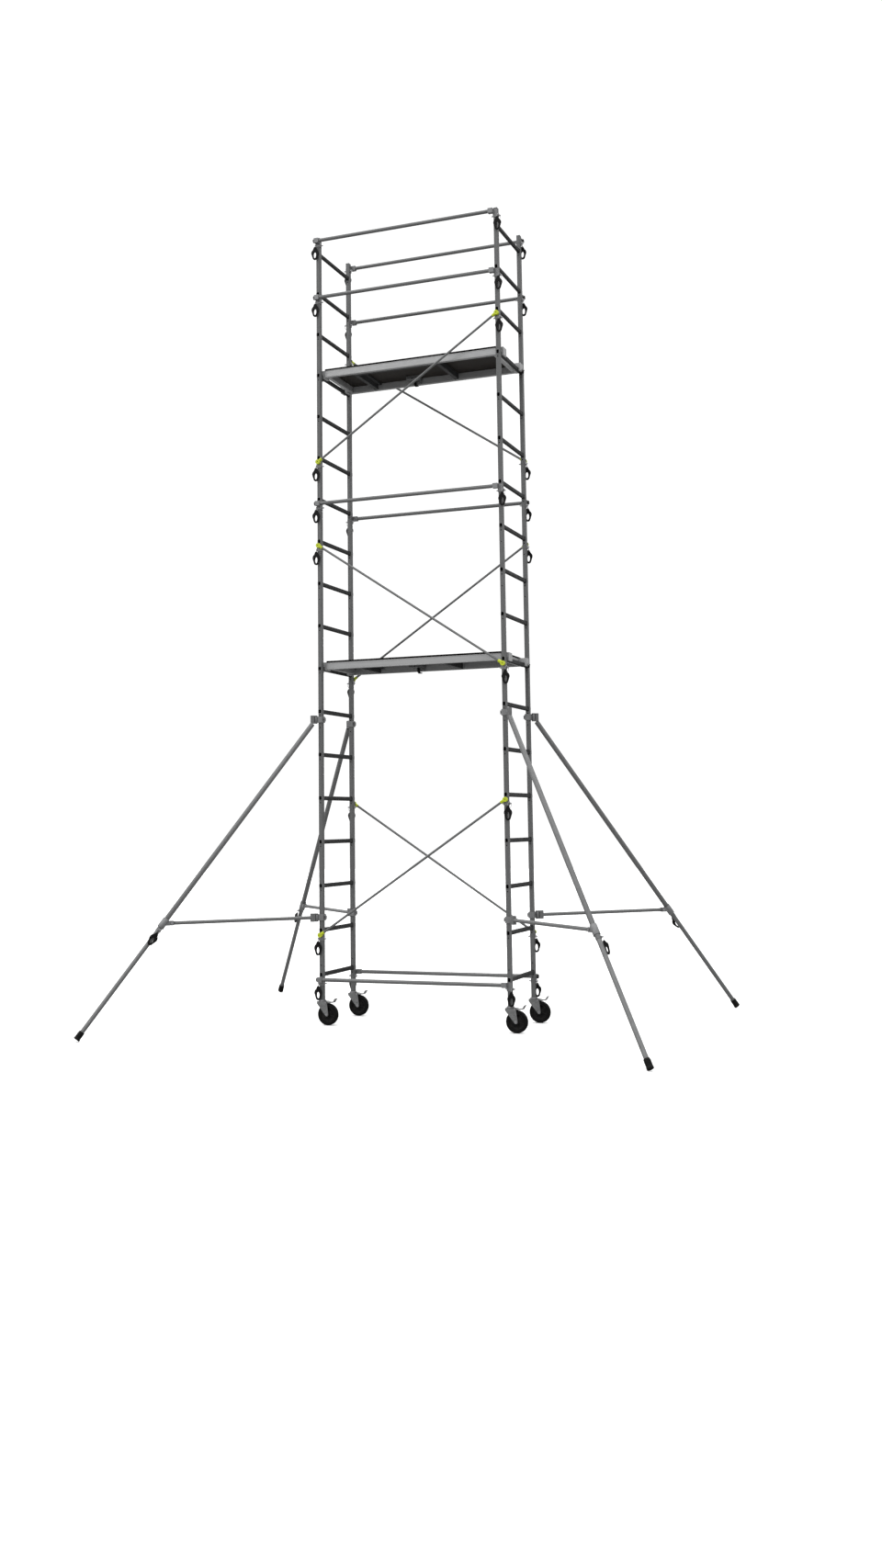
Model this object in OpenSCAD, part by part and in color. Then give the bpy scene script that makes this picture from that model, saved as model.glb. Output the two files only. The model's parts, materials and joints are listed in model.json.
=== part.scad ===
// Rolling scaffold tower on braked castors: two stacked ladder frames, guard rails,
// braces, two trapdoor platforms and four stabilisers. Millimetres, +Z up.
// The origin is on the floor under the middle of the tower; +X runs along its length.

/* [Tower] */
// Distance between the two ladder frames, stile centre to stile centre
frame_length = 1255; // [1100:5:1600]
// Width of a ladder frame, stile centre to stile centre
frame_width = 483; // [440:1:700]
// Height of the lowest rung above the floor
first_rung_height = 315; // [300:1:360]
// Distance between rungs
rung_pitch = 280; // [260:5:300]

/* [Frames] */
// Stile size along the tower
stile_x = 25; // [24:0.5:30]
// Stile size across the tower
stile_y = 35; // [30:0.5:50]
// Wall of the stile
stile_wall = 2; // [1.5:0.1:3]
// Rung width
rung_w = 19; // [16:0.5:20]
// Rung height
rung_h = 27; // [22:0.5:32]
// Wall of the rung
rung_wall = 1.8; // [1.2:0.1:2.5]
// Lip that the flared rung end forms round its hole
flare = 2.5; // [1.5:0.1:3]
// Depth of a section joint below the rung above it
joint_drop = 104; // [95:1:115]
// Length of the sleeve that joins two frame sections
spigot_length = 160; // [120:5:180]

/* [Rails and braces] */
// Diameter of the guard rails and horizontal rails
rail_d = 24; // [20:0.5:30]
// Diameter of the diagonal braces
brace_d = 15; // [12:0.5:20]
// Wall of rails and braces
tube_wall = 1.8; // [1.2:0.1:2.5]
// Depth of a rail or brace fitting below its rung
fit_drop = 30; // [28:1:36]
// Height of the top rail above the top rung
top_rail_rise = 84; // [70:1:100]
// Height of the stile above the top rung
stile_top_rise = 110; // [100:1:120]

/* [Locking pins] */
// Diameter of a locking pin
pin_d = 8; // [6:0.5:10]
// Depth of a locking pin below the tube that it holds
pin_drop = 25; // [24:0.5:26]
// Length of the pull loop below its eye
loop_length = 84; // [75:1:85]
// Width of the pull loop
loop_width = 52; // [44:1:56]

/* [Platforms] */
// Length of a platform's deck
deck_length = 1200; // [1040:5:1545]
// Width of a platform's deck
deck_width = 430; // [380:2:640]
// Thickness of the deck board
deck_t = 12; // [9:1:18]
// Height of the side beams
beam_h = 44; // [36:1:80]
// Width of the side beams
beam_w = 25; // [20:1:30]
// Length of the trapdoor
hatch_length = 556; // [450:2:600]
// Middle of the trapdoor along the deck
hatch_x = -105; // [-140:5:140]
// Clearance round the trapdoor
hatch_gap = 2; // [1:0.5:4]

/* [Castors] */
// Wheel diameter
wheel_d = 135; // [120:1:140]
// Wheel width
wheel_w = 36; // [30:1:40]
// Distance that the wheel trails behind its swivel
trail = 40; // [30:1:45]
// Axle diameter
axle_d = 12; // [10:1:16]

/* [Stabilisers] */
// Horizontal reach from the clamp's pivot to the foot
reach = 1513; // [1200:1:1700]
// Height of the upper clamp
upper_clamp_z = 1942; // [1850:1:1955]
// Height of the lower clamp and the strut
lower_clamp_z = 675; // [650:1:780]
// Diameter of the outer leg tube
leg_d = 32; // [30:0.5:40]
// Diameter of the strut
strut_d = 22; // [20:0.5:28]
// Radius of the rubber foot
boot_r = 20; // [18:0.5:24]
// Length of inner tube held inside the outer one
leg_overlap = 300; // [250:10:500]

/* [Hidden] */

aluminium = [0.55, 0.56, 0.57];
pale_aluminium = [0.68, 0.69, 0.69];
rung_grey = [0.38, 0.38, 0.39];
steel = [0.62, 0.62, 0.64];
black_plastic = [0.06, 0.06, 0.06];
lime = [0.74, 0.8, 0.15];
deck_black = [0.1, 0.09, 0.09];

seat = 0.1;       // gap between fixed pieces that touch
run = 0.05;       // radial gap of a shaft that turns or slides in its hole
lift = 0.3;       // gap between faces that move past each other

half_l = frame_length / 2;
half_w = frame_width / 2;
stile_face = half_w + stile_y / 2;
FRONT = -1;
REAR = 1;
LEFT = -1;
RIGHT = 1;

// Rungs are numbered from 0 at the bottom to 17 at the top.
section_first = [0, 5, 8, 11];
section_last = [4, 7, 10, 17];
function rung_z(i) = first_rung_height + i * rung_pitch;
function joint_z(s) = rung_z(section_first[s]) - joint_drop;

// Castor heights, from the floor up
wheel_r = wheel_d / 2;
crown_top = wheel_d + 14;
crown_t = 9;
flange_t = 8;
stile_bottom = crown_top + lift + flange_t;
stile_top = rung_z(17) + stile_top_rise;
function section_bottom(s) = s == 0 ? stile_bottom : joint_z(s) + seat / 2;
function section_top(s) = s == 3 ? stile_top : joint_z(s + 1) - seat / 2;

// Rail and brace heights
rail_z = [rung_z(0) - fit_drop, rung_z(11) - fit_drop, rung_z(16) - fit_drop,
          rung_z(17) + top_rail_rise];
brace_low = [rung_z(1) - fit_drop, rung_z(7) - fit_drop, rung_z(12) - fit_drop];
brace_high = [rung_z(4) - fit_drop, rung_z(10) - fit_drop, rung_z(15) - fit_drop];
// A brace's overhung corners are front left and rear right; the others are its far corners.
near_brace_z = [brace_low[0], brace_high[1], brace_low[2]];
far_brace_z = [brace_high[0], brace_low[1], brace_high[2]];
function is_near(sx, sy) = sx * sy > 0;
function brace_z(sx, sy) = is_near(sx, sy) ? near_brace_z : far_brace_z;
function pin_heights(sx, sy) = [for (z = concat(rail_z, brace_z(sx, sy))) z - pin_drop];
CORNERS = [[LEFT, FRONT], [RIGHT, FRONT], [LEFT, REAR], [RIGHT, REAR]];

// Corner frame: +X points out along the tower, +Y out across it, from the stile's centre line
module at_corner(sx, sy) {
  translate([sx * half_l, sy * half_w, 0])
    mirror([sx < 0 ? 1 : 0, 0, 0]) mirror([0, sy < 0 ? 1 : 0, 0]) children();
}

module at_corners() {
  for (c = CORNERS) at_corner(c[0], c[1]) children();
}

module x_cyl(x0, x1, r, y = 0, z = 0) {
  translate([x0, y, z]) rotate([0, 90, 0]) cylinder(h = x1 - x0, r = r, $fn = 48);
}

module y_cyl(y0, y1, r, x = 0, z = 0) {
  translate([x, y0, z]) rotate([-90, 0, 0]) cylinder(h = y1 - y0, r = r, $fn = 48);
}

module z_cyl(z0, z1, r, x = 0, y = 0) {
  translate([x, y, z0]) cylinder(h = z1 - z0, r = r, $fn = 48);
}

// A box from two opposite corners
module block(a, b) {
  translate(a) cube(b - a);
}

// ---------------------------------------------------------------- ladder frames

rung_chamfer = 5;
function oct(hx, hz, c) = [[hx, hz - c], [hx - c, hz], [c - hx, hz], [-hx, hz - c],
                           [-hx, c - hz], [c - hx, -hz], [hx - c, -hz], [hx, c - hz]];

// A rung-shaped bar along Y, larger than the rung by grow on every side
module rung_bar(grow, y0, y1) {
  translate([0, y1, 0]) rotate([90, 0, 0]) linear_extrude(height = y1 - y0)
    polygon(oct(rung_w / 2 + grow, rung_h / 2 + grow, rung_chamfer + grow * 0.4));
}

module rung() {
  difference() {
    union() {
      rung_bar(0, -stile_face - flare, stile_face + flare);
      for (s = [-1, 1]) mirror([0, s < 0 ? 1 : 0, 0]) {
        rung_bar(flare, stile_face, stile_face + flare);
        rung_bar(flare, half_w - stile_y / 2 - flare, half_w - stile_y / 2);
      }
    }
    rung_bar(-rung_wall, -stile_face - 2 * flare, stile_face + 2 * flare);
  }
}

module rungs(sx) {
  color(rung_grey) for (i = [0:17]) translate([sx * half_l, 0, rung_z(i)]) rung();
}

fit_hole_r = 4;
level_hole_r = 3.5;
base_hole_rise = 59;    // hole above the lowest rung
level_rungs = [6, 9, 10];

// Everything that is drilled through one stile, in its corner frame
module stile_holes(sx, sy) {
  for (i = [0:17]) {
    translate([0, 0, rung_z(i)]) rung_bar(seat, -stile_y, stile_y);
    y_cyl(-stile_y, stile_y, fit_hole_r, z = rung_z(i) - fit_drop);
  }
  for (i = level_rungs) y_cyl(-stile_y, stile_y, level_hole_r, z = rung_z(i) - joint_drop);
  y_cyl(-stile_y, stile_y, fit_hole_r, z = rung_z(0) + base_hole_rise);
  for (z = pin_heights(sx, sy)) x_cyl(-stile_x, stile_x, pin_d / 2 + seat, z = z);
  bolt_holes();
}

bolt_r = 3;
bolt_offset = 25;       // joint bolts above and below the split

module bolt_holes() {
  for (s = [1:3]) for (d = [-bolt_offset, bolt_offset])
    x_cyl(-stile_x, stile_x, bolt_r + seat, z = joint_z(s) + d);
}

// Outline of a stile: rounded corners, and a shallow channel down the middle of each face
corner_r = 2.5;
channel = 0.8;          // depth
channel_x = 6.5;        // half width on the faces across X
channel_y = 5.5;        // half width on the faces across Y
// A quarter of the outline, from the channel of one face round the corner to the channel of the next
function quarter(hx, hy, wx, wy) = concat(
  [[hx - channel, wx - channel], [hx, wx]],
  arc([hx - corner_r, hy - corner_r], corner_r, 0, 90, 4),
  [[wy, hy], [wy - channel, hy - channel]]);
function turned(points) = [for (p = points) [-p[1], p[0]]];
function stile_outline(hx, hy) =
  let(a = quarter(hx, hy, channel_x, channel_y), b = turned(quarter(hy, hx, channel_y, channel_x)))
  concat(a, b, turned(turned(a)), turned(turned(b)));

module stile(sx, sy, s) {
  hx = stile_x / 2;
  hy = stile_y / 2;
  at_corner(sx, sy) difference() {
    translate([0, 0, section_bottom(s)]) linear_extrude(height = section_top(s) - section_bottom(s))
      polygon(stile_outline(hx, hy));
    block([-hx + stile_wall, -hy + stile_wall, 0], [hx - stile_wall, hy - stile_wall, stile_top + 1]);
    stile_holes(sx, sy);
  }
}

module stiles(sx, s) {
  color(aluminium) for (sy = [FRONT, REAR]) stile(sx, sy, s);
}

// Sleeves inside the stiles at each section joint
spigot_wall = 2.5;

module joint_spigots() {
  hx = stile_x / 2 - stile_wall - seat;
  hy = stile_y / 2 - stile_wall - seat;
  color(pale_aluminium) for (c = CORNERS) at_corner(c[0], c[1]) for (s = [1:3]) difference() {
    block([-hx, -hy, joint_z(s) - spigot_length / 2], [hx, hy, joint_z(s) + spigot_length / 2]);
    block([-hx + spigot_wall, -hy + spigot_wall, joint_z(s) - spigot_length],
          [hx - spigot_wall, hy - spigot_wall, joint_z(s) + spigot_length]);
    stile_holes(c[0], c[1]);
  }
}

// Cross bolts of the section joints, with a round head at each end
module joint_bolts() {
  head = 2.4;
  color(steel) at_corners() for (s = [1:3]) for (d = [-bolt_offset, bolt_offset]) union() {
    x_cyl(-stile_x / 2 - seat / 2, stile_x / 2 + seat / 2, bolt_r, z = joint_z(s) + d);
    for (m = [0, 1]) mirror([m, 0, 0])
      x_cyl(stile_x / 2 + seat / 2, stile_x / 2 + head, bolt_r + 2.2, z = joint_z(s) + d);
  }
}

// ---------------------------------------------------------------- rails

saddle_t = 3;
sleeve_half = rail_d / 2 + 3.5;
cheek_in = stile_x / 2 + seat;
cheek_out = cheek_in + saddle_t;
web_y = stile_y / 2 + seat;                    // inner face of a saddle's web
web_top = fit_drop - rung_h / 2 - flare - lift; // above the tube, just clear of the rung's lip
sleeve_y = web_y + saddle_t - 0.4;             // a sleeve grows out of the web from here
rail_y = web_y + sleeve_half;                  // rail axis in the corner frame
rail_overhang = 18;
rail_butt = 14;

// U-shaped saddle round the outer side of a stile, bored for its locking pin
module saddle(z_low, z_high) {
  for (m = [0, 1]) mirror([m, 0, 0]) block([cheek_in, -10, z_low], [cheek_out, web_y + saddle_t, -10]);
  block([-cheek_out, web_y, z_low], [cheek_out, web_y + saddle_t, z_high]);
}

module saddle_bore() {
  x_cyl(-stile_x, stile_x, pin_d / 2 + seat, z = -pin_drop);
}

module near_bracket() {
  difference() {
    union() {
      saddle(-pin_drop - 12, web_top);
      block([-16, sleeve_y, -sleeve_half], [16, rail_y + sleeve_half, sleeve_half]);
    }
    x_cyl(-stile_x, stile_x, rail_d / 2 + seat, y = rail_y);
    saddle_bore();
  }
}

module far_bracket() {
  difference() {
    union() {
      saddle(-pin_drop - 12, web_top);
      block([-rail_butt - 28, sleeve_y, -sleeve_half],
            [-rail_butt + 4, rail_y + sleeve_half, sleeve_half]);
    }
    x_cyl(-rail_butt - 60, -rail_butt + seat, rail_d / 2 + seat, y = rail_y);
    saddle_bore();
  }
}

module rail_brackets() {
  color(pale_aluminium) for (c = CORNERS) at_corner(c[0], c[1]) for (z = rail_z)
    translate([0, 0, z]) if (is_near(c[0], c[1])) near_bracket(); else far_bracket();
}

module tube_x(x0, x1, d, wall) {
  difference() {
    x_cyl(x0, x1, d / 2);
    x_cyl(x0 - 1, x1 + 1, d / 2 - wall);
  }
}

// The front rail overhangs at the left and the rear rail at the right
module rails(level) {
  color(aluminium) for (turn = [0, 180]) rotate([0, 0, turn])
    translate([0, -half_w - rail_y, rail_z[level]])
      tube_x(-half_l - rail_overhang, half_l - rail_butt, rail_d, tube_wall);
}

module rail_end_caps() {
  cap_t = 6;
  bore_r = rail_d / 2 - tube_wall - seat;
  color(black_plastic) for (c = CORNERS) if (is_near(c[0], c[1])) at_corner(c[0], c[1])
    for (z = rail_z) translate([0, rail_y, z]) union() {
      x_cyl(rail_overhang + seat, rail_overhang + cap_t, rail_d / 2 + 1);
      x_cyl(rail_overhang - 12, rail_overhang + seat, bore_r);
    }
}

// ---------------------------------------------------------------- braces

brace_y = stile_y / 2 + saddle_t + brace_d / 2 + 3;
clip_r = 15;
clip_reach = 34;
brace_run = frame_length;

function brace_angle(b) = atan2(far_brace_z[b] - near_brace_z[b], brace_run);
function brace_span(b) = norm([brace_run, far_brace_z[b] - near_brace_z[b]]);

// Clip in the corner frame: a disc and socket on a saddle; the brace leaves inwards at angle a
module brace_clip(a) {
  y1 = brace_y + brace_d / 2 + 2;
  difference() {
    union() {
      saddle(-pin_drop - 10, 10);
      y_cyl(sleeve_y, y1, clip_r);
      rotate([0, a, 0]) x_cyl(-clip_reach, 0, brace_d / 2 + 2.5, y = brace_y);
    }
    rotate([0, a, 0]) x_cyl(-clip_reach - 1, -clip_r + seat, brace_d / 2 + seat, y = brace_y);
    saddle_bore();
    y_cyl(y1 - 4, y1 + 1, 4);
  }
}

module brace_clips() {
  color(lime) for (c = CORNERS) at_corner(c[0], c[1]) for (b = [0:2]) {
    near = is_near(c[0], c[1]);
    translate([0, 0, brace_z(c[0], c[1])[b]]) brace_clip(near ? brace_angle(b) : -brace_angle(b));
  }
}

module braces(b) {
  color(aluminium) for (turn = [0, 180]) rotate([0, 0, turn])
    translate([-half_l, -half_w - brace_y, near_brace_z[b]]) rotate([0, -brace_angle(b), 0])
      tube_x(clip_r + seat, brace_span(b) - clip_r - seat, brace_d, tube_wall);
}

// ---------------------------------------------------------------- locking pins

pin_tip = 14;           // length past the inner cheek
head_t = 5;
pin_eye = [cheek_out + seat + head_t + 5, 0, 0];
loop_eye = [16, 27, -20];
loop_t = 7;
loop_shift = 1.5;       // keeps the wire's way inside the loop's thickness
wire_r = 1.2;
wire_gap = 0.4;

// Pin through a saddle and its stile, inserted from the tower's end, in the corner frame
module locking_pin() {
  head_x = cheek_out + seat;
  difference() {
    union() {
      x_cyl(-cheek_out - pin_tip, head_x, pin_d / 2);
      x_cyl(head_x, head_x + head_t, 7);
      x_cyl(head_x, pin_eye[0] + 4.5, 4.5);
    }
    pin_ring(wire_r + wire_gap);
  }
}

// Ring of radius ring_r in the XZ plane, bent from wire of radius r
module ring(ring_r, r) {
  rotate([90, 0, 0]) rotate_extrude($fn = 48) translate([ring_r, 0]) circle(r = r, $fn = 20);
}

// Upright ring through the eyes of a pin and of its loop
module pin_ring(r) {
  d = loop_eye - pin_eye;
  translate((pin_eye + loop_eye) / 2) rotate([0, 0, atan2(d[1], d[0])]) ring(norm(d) / 2, r);
}

function arc(c, r, a0, a1, n) = [for (i = [0:n]) c + r * [cos(a0 + (a1 - a0) * i / n),
                                                          sin(a0 + (a1 - a0) * i / n)]];
function loop_outline() = concat(
  arc([0, 16 - loop_length], 16, 196, 344, 9),
  arc([0, -36], loop_width / 2, -10, 56, 7),
  arc([0, -3], 9, 40, 140, 6),
  arc([0, -36], loop_width / 2, 124, 190, 7));

// Teardrop pull loop hanging from its eye in the XZ plane
module pull_loop() {
  slot_top = -31;
  slot_bottom = 12 - loop_length;
  rotate([90, 0, 0]) translate([0, 0, -loop_t / 2]) linear_extrude(height = loop_t) difference() {
    polygon(loop_outline());
    polygon([for (a = [0:20:340]) [9.5 * cos(a),
      (slot_top + slot_bottom) / 2 + (slot_top - slot_bottom) / 2 * sin(a)]]);
  }
}

module at_pins() {
  for (c = CORNERS) at_corner(c[0], c[1]) for (z = pin_heights(c[0], c[1])) translate([0, 0, z]) children();
}

module locking_pins() {
  color(steel) at_pins() {
    locking_pin();
    pin_ring(wire_r);
  }
}

module pin_loops() {
  color(black_plastic) at_pins() difference() {
    translate(loop_eye + [0, loop_shift, 0]) pull_loop();
    pin_ring(wire_r + wire_gap);
  }
}

// ---------------------------------------------------------------- platforms

platform_rung = [7, 14];
deck_hl = deck_length / 2;
deck_hw = deck_width / 2;
beam_wall = 2;
deck_bottom = 40;                 // above the rung's centre
deck_top = deck_bottom + deck_t;
beam_bottom = deck_bottom - beam_h;
cross_w = 25;
hatch_x0 = hatch_x - hatch_length / 2;
hatch_x1 = hatch_x + hatch_length / 2;
hatch_y0 = -deck_hw + beam_w + 40;
hatch_y1 = deck_hw - beam_w;
keeper_gap = 0.5;
hinge_at = [hatch_x - hatch_length * 0.3, hatch_x + hatch_length * 0.3];
knuckle_r = 5;
hinge_pin_r = 3;
leaf_t = 2.5;
leaf_half = 30;
hinge_y = hatch_y0 + hatch_gap / 2;
hinge_z = deck_top + 3;
leaf_z = deck_top - leaf_t;       // the leaves lie in pockets, flush with the boards
lip_out = 1.5;
lip_h = 4;

module at_platform(p) {
  translate([0, 0, rung_z(platform_rung[p])]) children();
}

// Hollow extrusion between two corners, closed along X or along Y
module box_tube(a, b, along_x) {
  w = along_x ? [-1, beam_wall, beam_wall] : [beam_wall, -1, beam_wall];
  difference() {
    block(a, b);
    block(a + w, b - w);
  }
}

module platform_frame(p) {
  yi = deck_hw - beam_w - seat;
  bays = [[-deck_hl, -deck_hl + cross_w], [hatch_x0 - cross_w - hatch_gap, hatch_x0 - hatch_gap],
          [hatch_x1 + hatch_gap, hatch_x1 + cross_w + hatch_gap], [deck_hl - cross_w, deck_hl]];
  color(pale_aluminium) at_platform(p) {
    for (m = [0, 1]) mirror([0, m, 0]) difference() {
      union() {
        box_tube([-deck_hl, deck_hw - beam_w, beam_bottom], [deck_hl, deck_hw, deck_bottom - seat], true);
        // Lips along the beam's outer face
        for (z = [beam_bottom, deck_bottom - seat - lip_h])
          block([-deck_hl, deck_hw - 1, z], [deck_hl, deck_hw + lip_out, z + lip_h]);
      }
      // Drain holes under the beam
      for (x = [-deck_hl + 60, deck_hl - 60])
        z_cyl(beam_bottom - 1, beam_bottom + 5, 4, x, deck_hw - beam_w / 2);
    }
    for (b = bays) box_tube([b[0], -yi, 0], [b[1], yi, deck_bottom - seat], false);
    box_tube([hatch_x0 - hatch_gap + seat, hatch_y0 - 25 - hatch_gap, 0],
             [hatch_x1 + hatch_gap - seat, hatch_y0 - hatch_gap, deck_bottom - seat], true);
  }
}

// Pockets for the hinge leaves in the top of a board
module leaf_pockets(y0, y1) {
  for (x = hinge_at) translate([x, 0, 0])
    block([-leaf_half - 3, y0, leaf_z - seat], [leaf_half + 3, y1, deck_top + 1]);
}

module deck(p) {
  color(deck_black) at_platform(p) difference() {
    block([-deck_hl, -deck_hw, deck_bottom], [deck_hl, deck_hw, deck_top]);
    block([hatch_x0 - hatch_gap, hatch_y0 - hatch_gap, 0], [hatch_x1 + hatch_gap, hatch_y1, deck_top + 1]);
    leaf_pockets(hinge_y - 32 - lift, hinge_y);
  }
}

// Middle knuckle and leaf on the trapdoor, outer knuckles and leaf on the deck
module moving_leaf() {
  knuckle = leaf_half / 3 - lift;
  difference() {
    union() {
      x_cyl(-knuckle, knuckle, knuckle_r, hinge_y, hinge_z);
      block([-knuckle, hinge_y, leaf_z], [knuckle, hinge_y + 8, leaf_z + leaf_t]);
      block([-leaf_half, hinge_y + 7, leaf_z], [leaf_half, hinge_y + 32, leaf_z + leaf_t]);
    }
    x_cyl(-leaf_half, leaf_half, hinge_pin_r + run, hinge_y, hinge_z);
  }
}

module fixed_leaf() {
  difference() {
    union() {
      for (m = [0, 1]) mirror([m, 0, 0]) {
        x_cyl(leaf_half / 3, leaf_half, knuckle_r, hinge_y, hinge_z);
        block([leaf_half / 3, hinge_y - 8, leaf_z], [leaf_half, hinge_y, leaf_z + leaf_t]);
      }
      block([-leaf_half, hinge_y - 32, leaf_z], [leaf_half, hinge_y - 7, leaf_z + leaf_t]);
    }
    x_cyl(-leaf_half - 1, leaf_half + 1, hinge_pin_r + seat, hinge_y, hinge_z);
  }
}

// The latch turns up with the trapdoor, so its reach at a depth z stays inside this arc
latch_w = 22;
latch_low = -20;
function swing_y(z) = hinge_y + sqrt(pow(hatch_y1 - lift - hinge_y, 2) - pow(hinge_z - z, 2)) - keeper_gap;

module hatch(p) {
  rim_w = 22;
  rim_z = deck_bottom - 12;
  x0 = hatch_x0;
  x1 = hatch_x1;
  y0 = hatch_y0;
  y1 = hatch_y1 - hatch_gap;
  at_platform(p) {
    color(deck_black) difference() {
      block([x0, y0, deck_bottom], [x1, y1, deck_top]);
      leaf_pockets(y0 - 1, hinge_y + 32 + lift);
      // Notches that clear the knuckles
      for (x = hinge_at) translate([x, 0, 0])
        block([-leaf_half - 3, y0 - 1, 0], [leaf_half + 3, hinge_y + 6, deck_top + 1]);
    }
    color(pale_aluminium) {
      // Stiffening rim under the board
      for (x = [x0 + 2, x1 - rim_w - 2]) block([x, y0 + 2, rim_z], [x + rim_w, y1 - 2, deck_bottom - seat]);
      block([x0 + rim_w + 4, y0 + 2, rim_z], [x1 - rim_w - 4, y0 + 2 + rim_w, deck_bottom - seat]);
      // Latch housing under the free edge, with a triangular guard beside the grip
      difference() {
        union() {
          block([hatch_x - 45, y1 - 75, deck_bottom - 20],
                [hatch_x + 45, swing_y(deck_bottom - 20), deck_bottom - seat]);
          translate([hatch_x + 45, swing_y(latch_low) - 4, 0]) rotate([90, 0, 0]) linear_extrude(height = 3)
            polygon([[-30, deck_bottom - 19], [0, deck_bottom - 19], [0, -8]]);
        }
        block([hatch_x - latch_w / 2 - run, y1 - 76, deck_bottom - 21],
              [hatch_x + latch_w / 2 + run, hatch_y1, deck_bottom - 7]);
      }
      for (x = hinge_at) translate([x, 0, 0]) moving_leaf();
    }
  }
}

// Sliding latch in a steel strip, with a black hooked grip under it
module hatch_latch(p) {
  z0 = deck_bottom - 20;
  y1 = swing_y(z0);
  y2 = swing_y(latch_low);
  at_platform(p) translate([hatch_x, 0, 0]) {
    color(steel) block([-latch_w / 2, y1 - 60, z0], [latch_w / 2, y1, deck_bottom - 7 - lift]);
    color(black_plastic) translate([0, y2, 0]) rotate([90, 0, 0]) linear_extrude(height = 16) polygon([
      [-10, z0 - seat], [-6, -12], [0, latch_low], [22, latch_low], [24, -14], [8, -11], [6, z0 - seat]]);
  }
}

// Claws that drop over the rungs at the four corners of each platform; X starts at the deck's end
hook_w = 70;
hook_side = 5;
hook_bottom = -8;
hook_rung_x = half_l - deck_hl;
hook_slot = rung_w / 2 + 0.5;
hook_end = hook_rung_x + hook_slot + 12;
lever_axis = [hook_end + 6, 4];       // pivot of an anti-lift lever, X and Z
lever_y = deck_hw - hook_side - 20;
lever_w = 16;
lever_pin_r = 2.5;
lug_t = 4;

module hook() {
  difference() {
    block([seat, deck_hw - hook_w, hook_bottom], [hook_end, deck_hw - hook_side, deck_bottom + 4]);
    block([hook_rung_x - hook_slot, deck_hw - hook_w - 1, hook_bottom - 1],
          [hook_rung_x + hook_slot, deck_hw + 1, rung_h / 2]);
  }
}

// Lugs and pin that carry an anti-lift lever
module lever_lugs() {
  inner = lever_w / 2 + lift;
  for (m = [-1, 1]) translate([0, lever_y + m * (inner + lug_t / 2), 0])
    block([hook_end - 1, -lug_t / 2, lever_axis[1] - 5], [lever_axis[0] + 5, lug_t / 2, lever_axis[1] + 5]);
  y_cyl(lever_y - inner - 1, lever_y + inner + 1, lever_pin_r, lever_axis[0], lever_axis[1]);
}

module platform_hooks() {
  color(pale_aluminium) for (p = [0, 1]) at_platform(p) for (sx = [0, 1], sy = [0, 1])
    mirror([sx, 0, 0]) mirror([0, sy, 0]) translate([deck_hl, 0, 0]) union() {
      hook();
      if (sx == sy) lever_lugs();
    }
}

// Lever that turns under the rung so that wind can't lift the platform off
module uplift_lever(p, turn) {
  px = lever_axis[0];
  pz = lever_axis[1];
  under = -rung_h / 2 - 2.5;
  color(black_plastic) at_platform(p) rotate([0, 0, turn]) translate([deck_hl, 0, 0]) difference() {
    union() {
      y_cyl(lever_y - lever_w / 2, lever_y + lever_w / 2, 5, px, pz);
      translate([0, lever_y + lever_w / 2, 0]) rotate([90, 0, 0]) linear_extrude(height = lever_w)
        polygon([[px - 4, pz], [px - 4, under + 5], [hook_rung_x + 2, under], [hook_rung_x + 2, under - 5],
                 [px, under - 1], [px + 4, under + 4], [px + 4, pz]]);
    }
    y_cyl(lever_y - lever_w, lever_y + lever_w, lever_pin_r + run, px, pz);
  }
}

// Fixed leaves and pins of the trapdoors' hinges
module hatch_hinges() {
  color(steel) for (p = [0, 1]) at_platform(p) for (x = hinge_at) translate([x, 0, 0]) {
    fixed_leaf();
    x_cyl(-leaf_half - 2, leaf_half + 2, hinge_pin_r, hinge_y, hinge_z);
  }
}

// ---------------------------------------------------------------- castors

kingpin_r = 8;
crown_x0 = -28;
crown_x1 = 30;
cheek_y = wheel_w / 2 + 3;          // inner face of a fork leg
fork_t = 4;
nut_t = 5;
pedal_axis = [34, crown_top - 6];   // pedal pivot, X and Z
pedal_pin_r = 3;
CASTORS = [["front_left", LEFT, FRONT], ["front_right", RIGHT, FRONT],
           ["rear_left", LEFT, REAR], ["rear_right", RIGHT, REAR]];

// All castors stand the same way, with the wheel trailing towards +X
module at_castor(k) {
  translate([CASTORS[k][1] * half_l, CASTORS[k][2] * half_w, 0]) children();
}

// Plug in the stile's foot, flange, kingpin and its nut
module castor_stems() {
  plug = [stile_x / 2 - stile_wall - seat, stile_y / 2 - stile_wall - seat];
  color(steel) for (k = [0:3]) at_castor(k) union() {
    block([-plug[0], -plug[1], stile_bottom - 1], [plug[0], plug[1], stile_bottom + 60]);
    z_cyl(stile_bottom - flange_t, stile_bottom - seat, 24);
    z_cyl(crown_top - crown_t - lift, stile_bottom - 1, kingpin_r);
    z_cyl(crown_top - crown_t - lift - nut_t, crown_top - crown_t - lift, 12);
  }
}

module fork_leg_outline() {
  polygon(concat([[crown_x0, crown_top], [crown_x0, crown_top - 14]],
    arc([trail, wheel_r], 11, 215, 350, 8), [[crown_x1 + 12, crown_top - 14], [crown_x1 + 8, crown_top]]));
}

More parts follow.
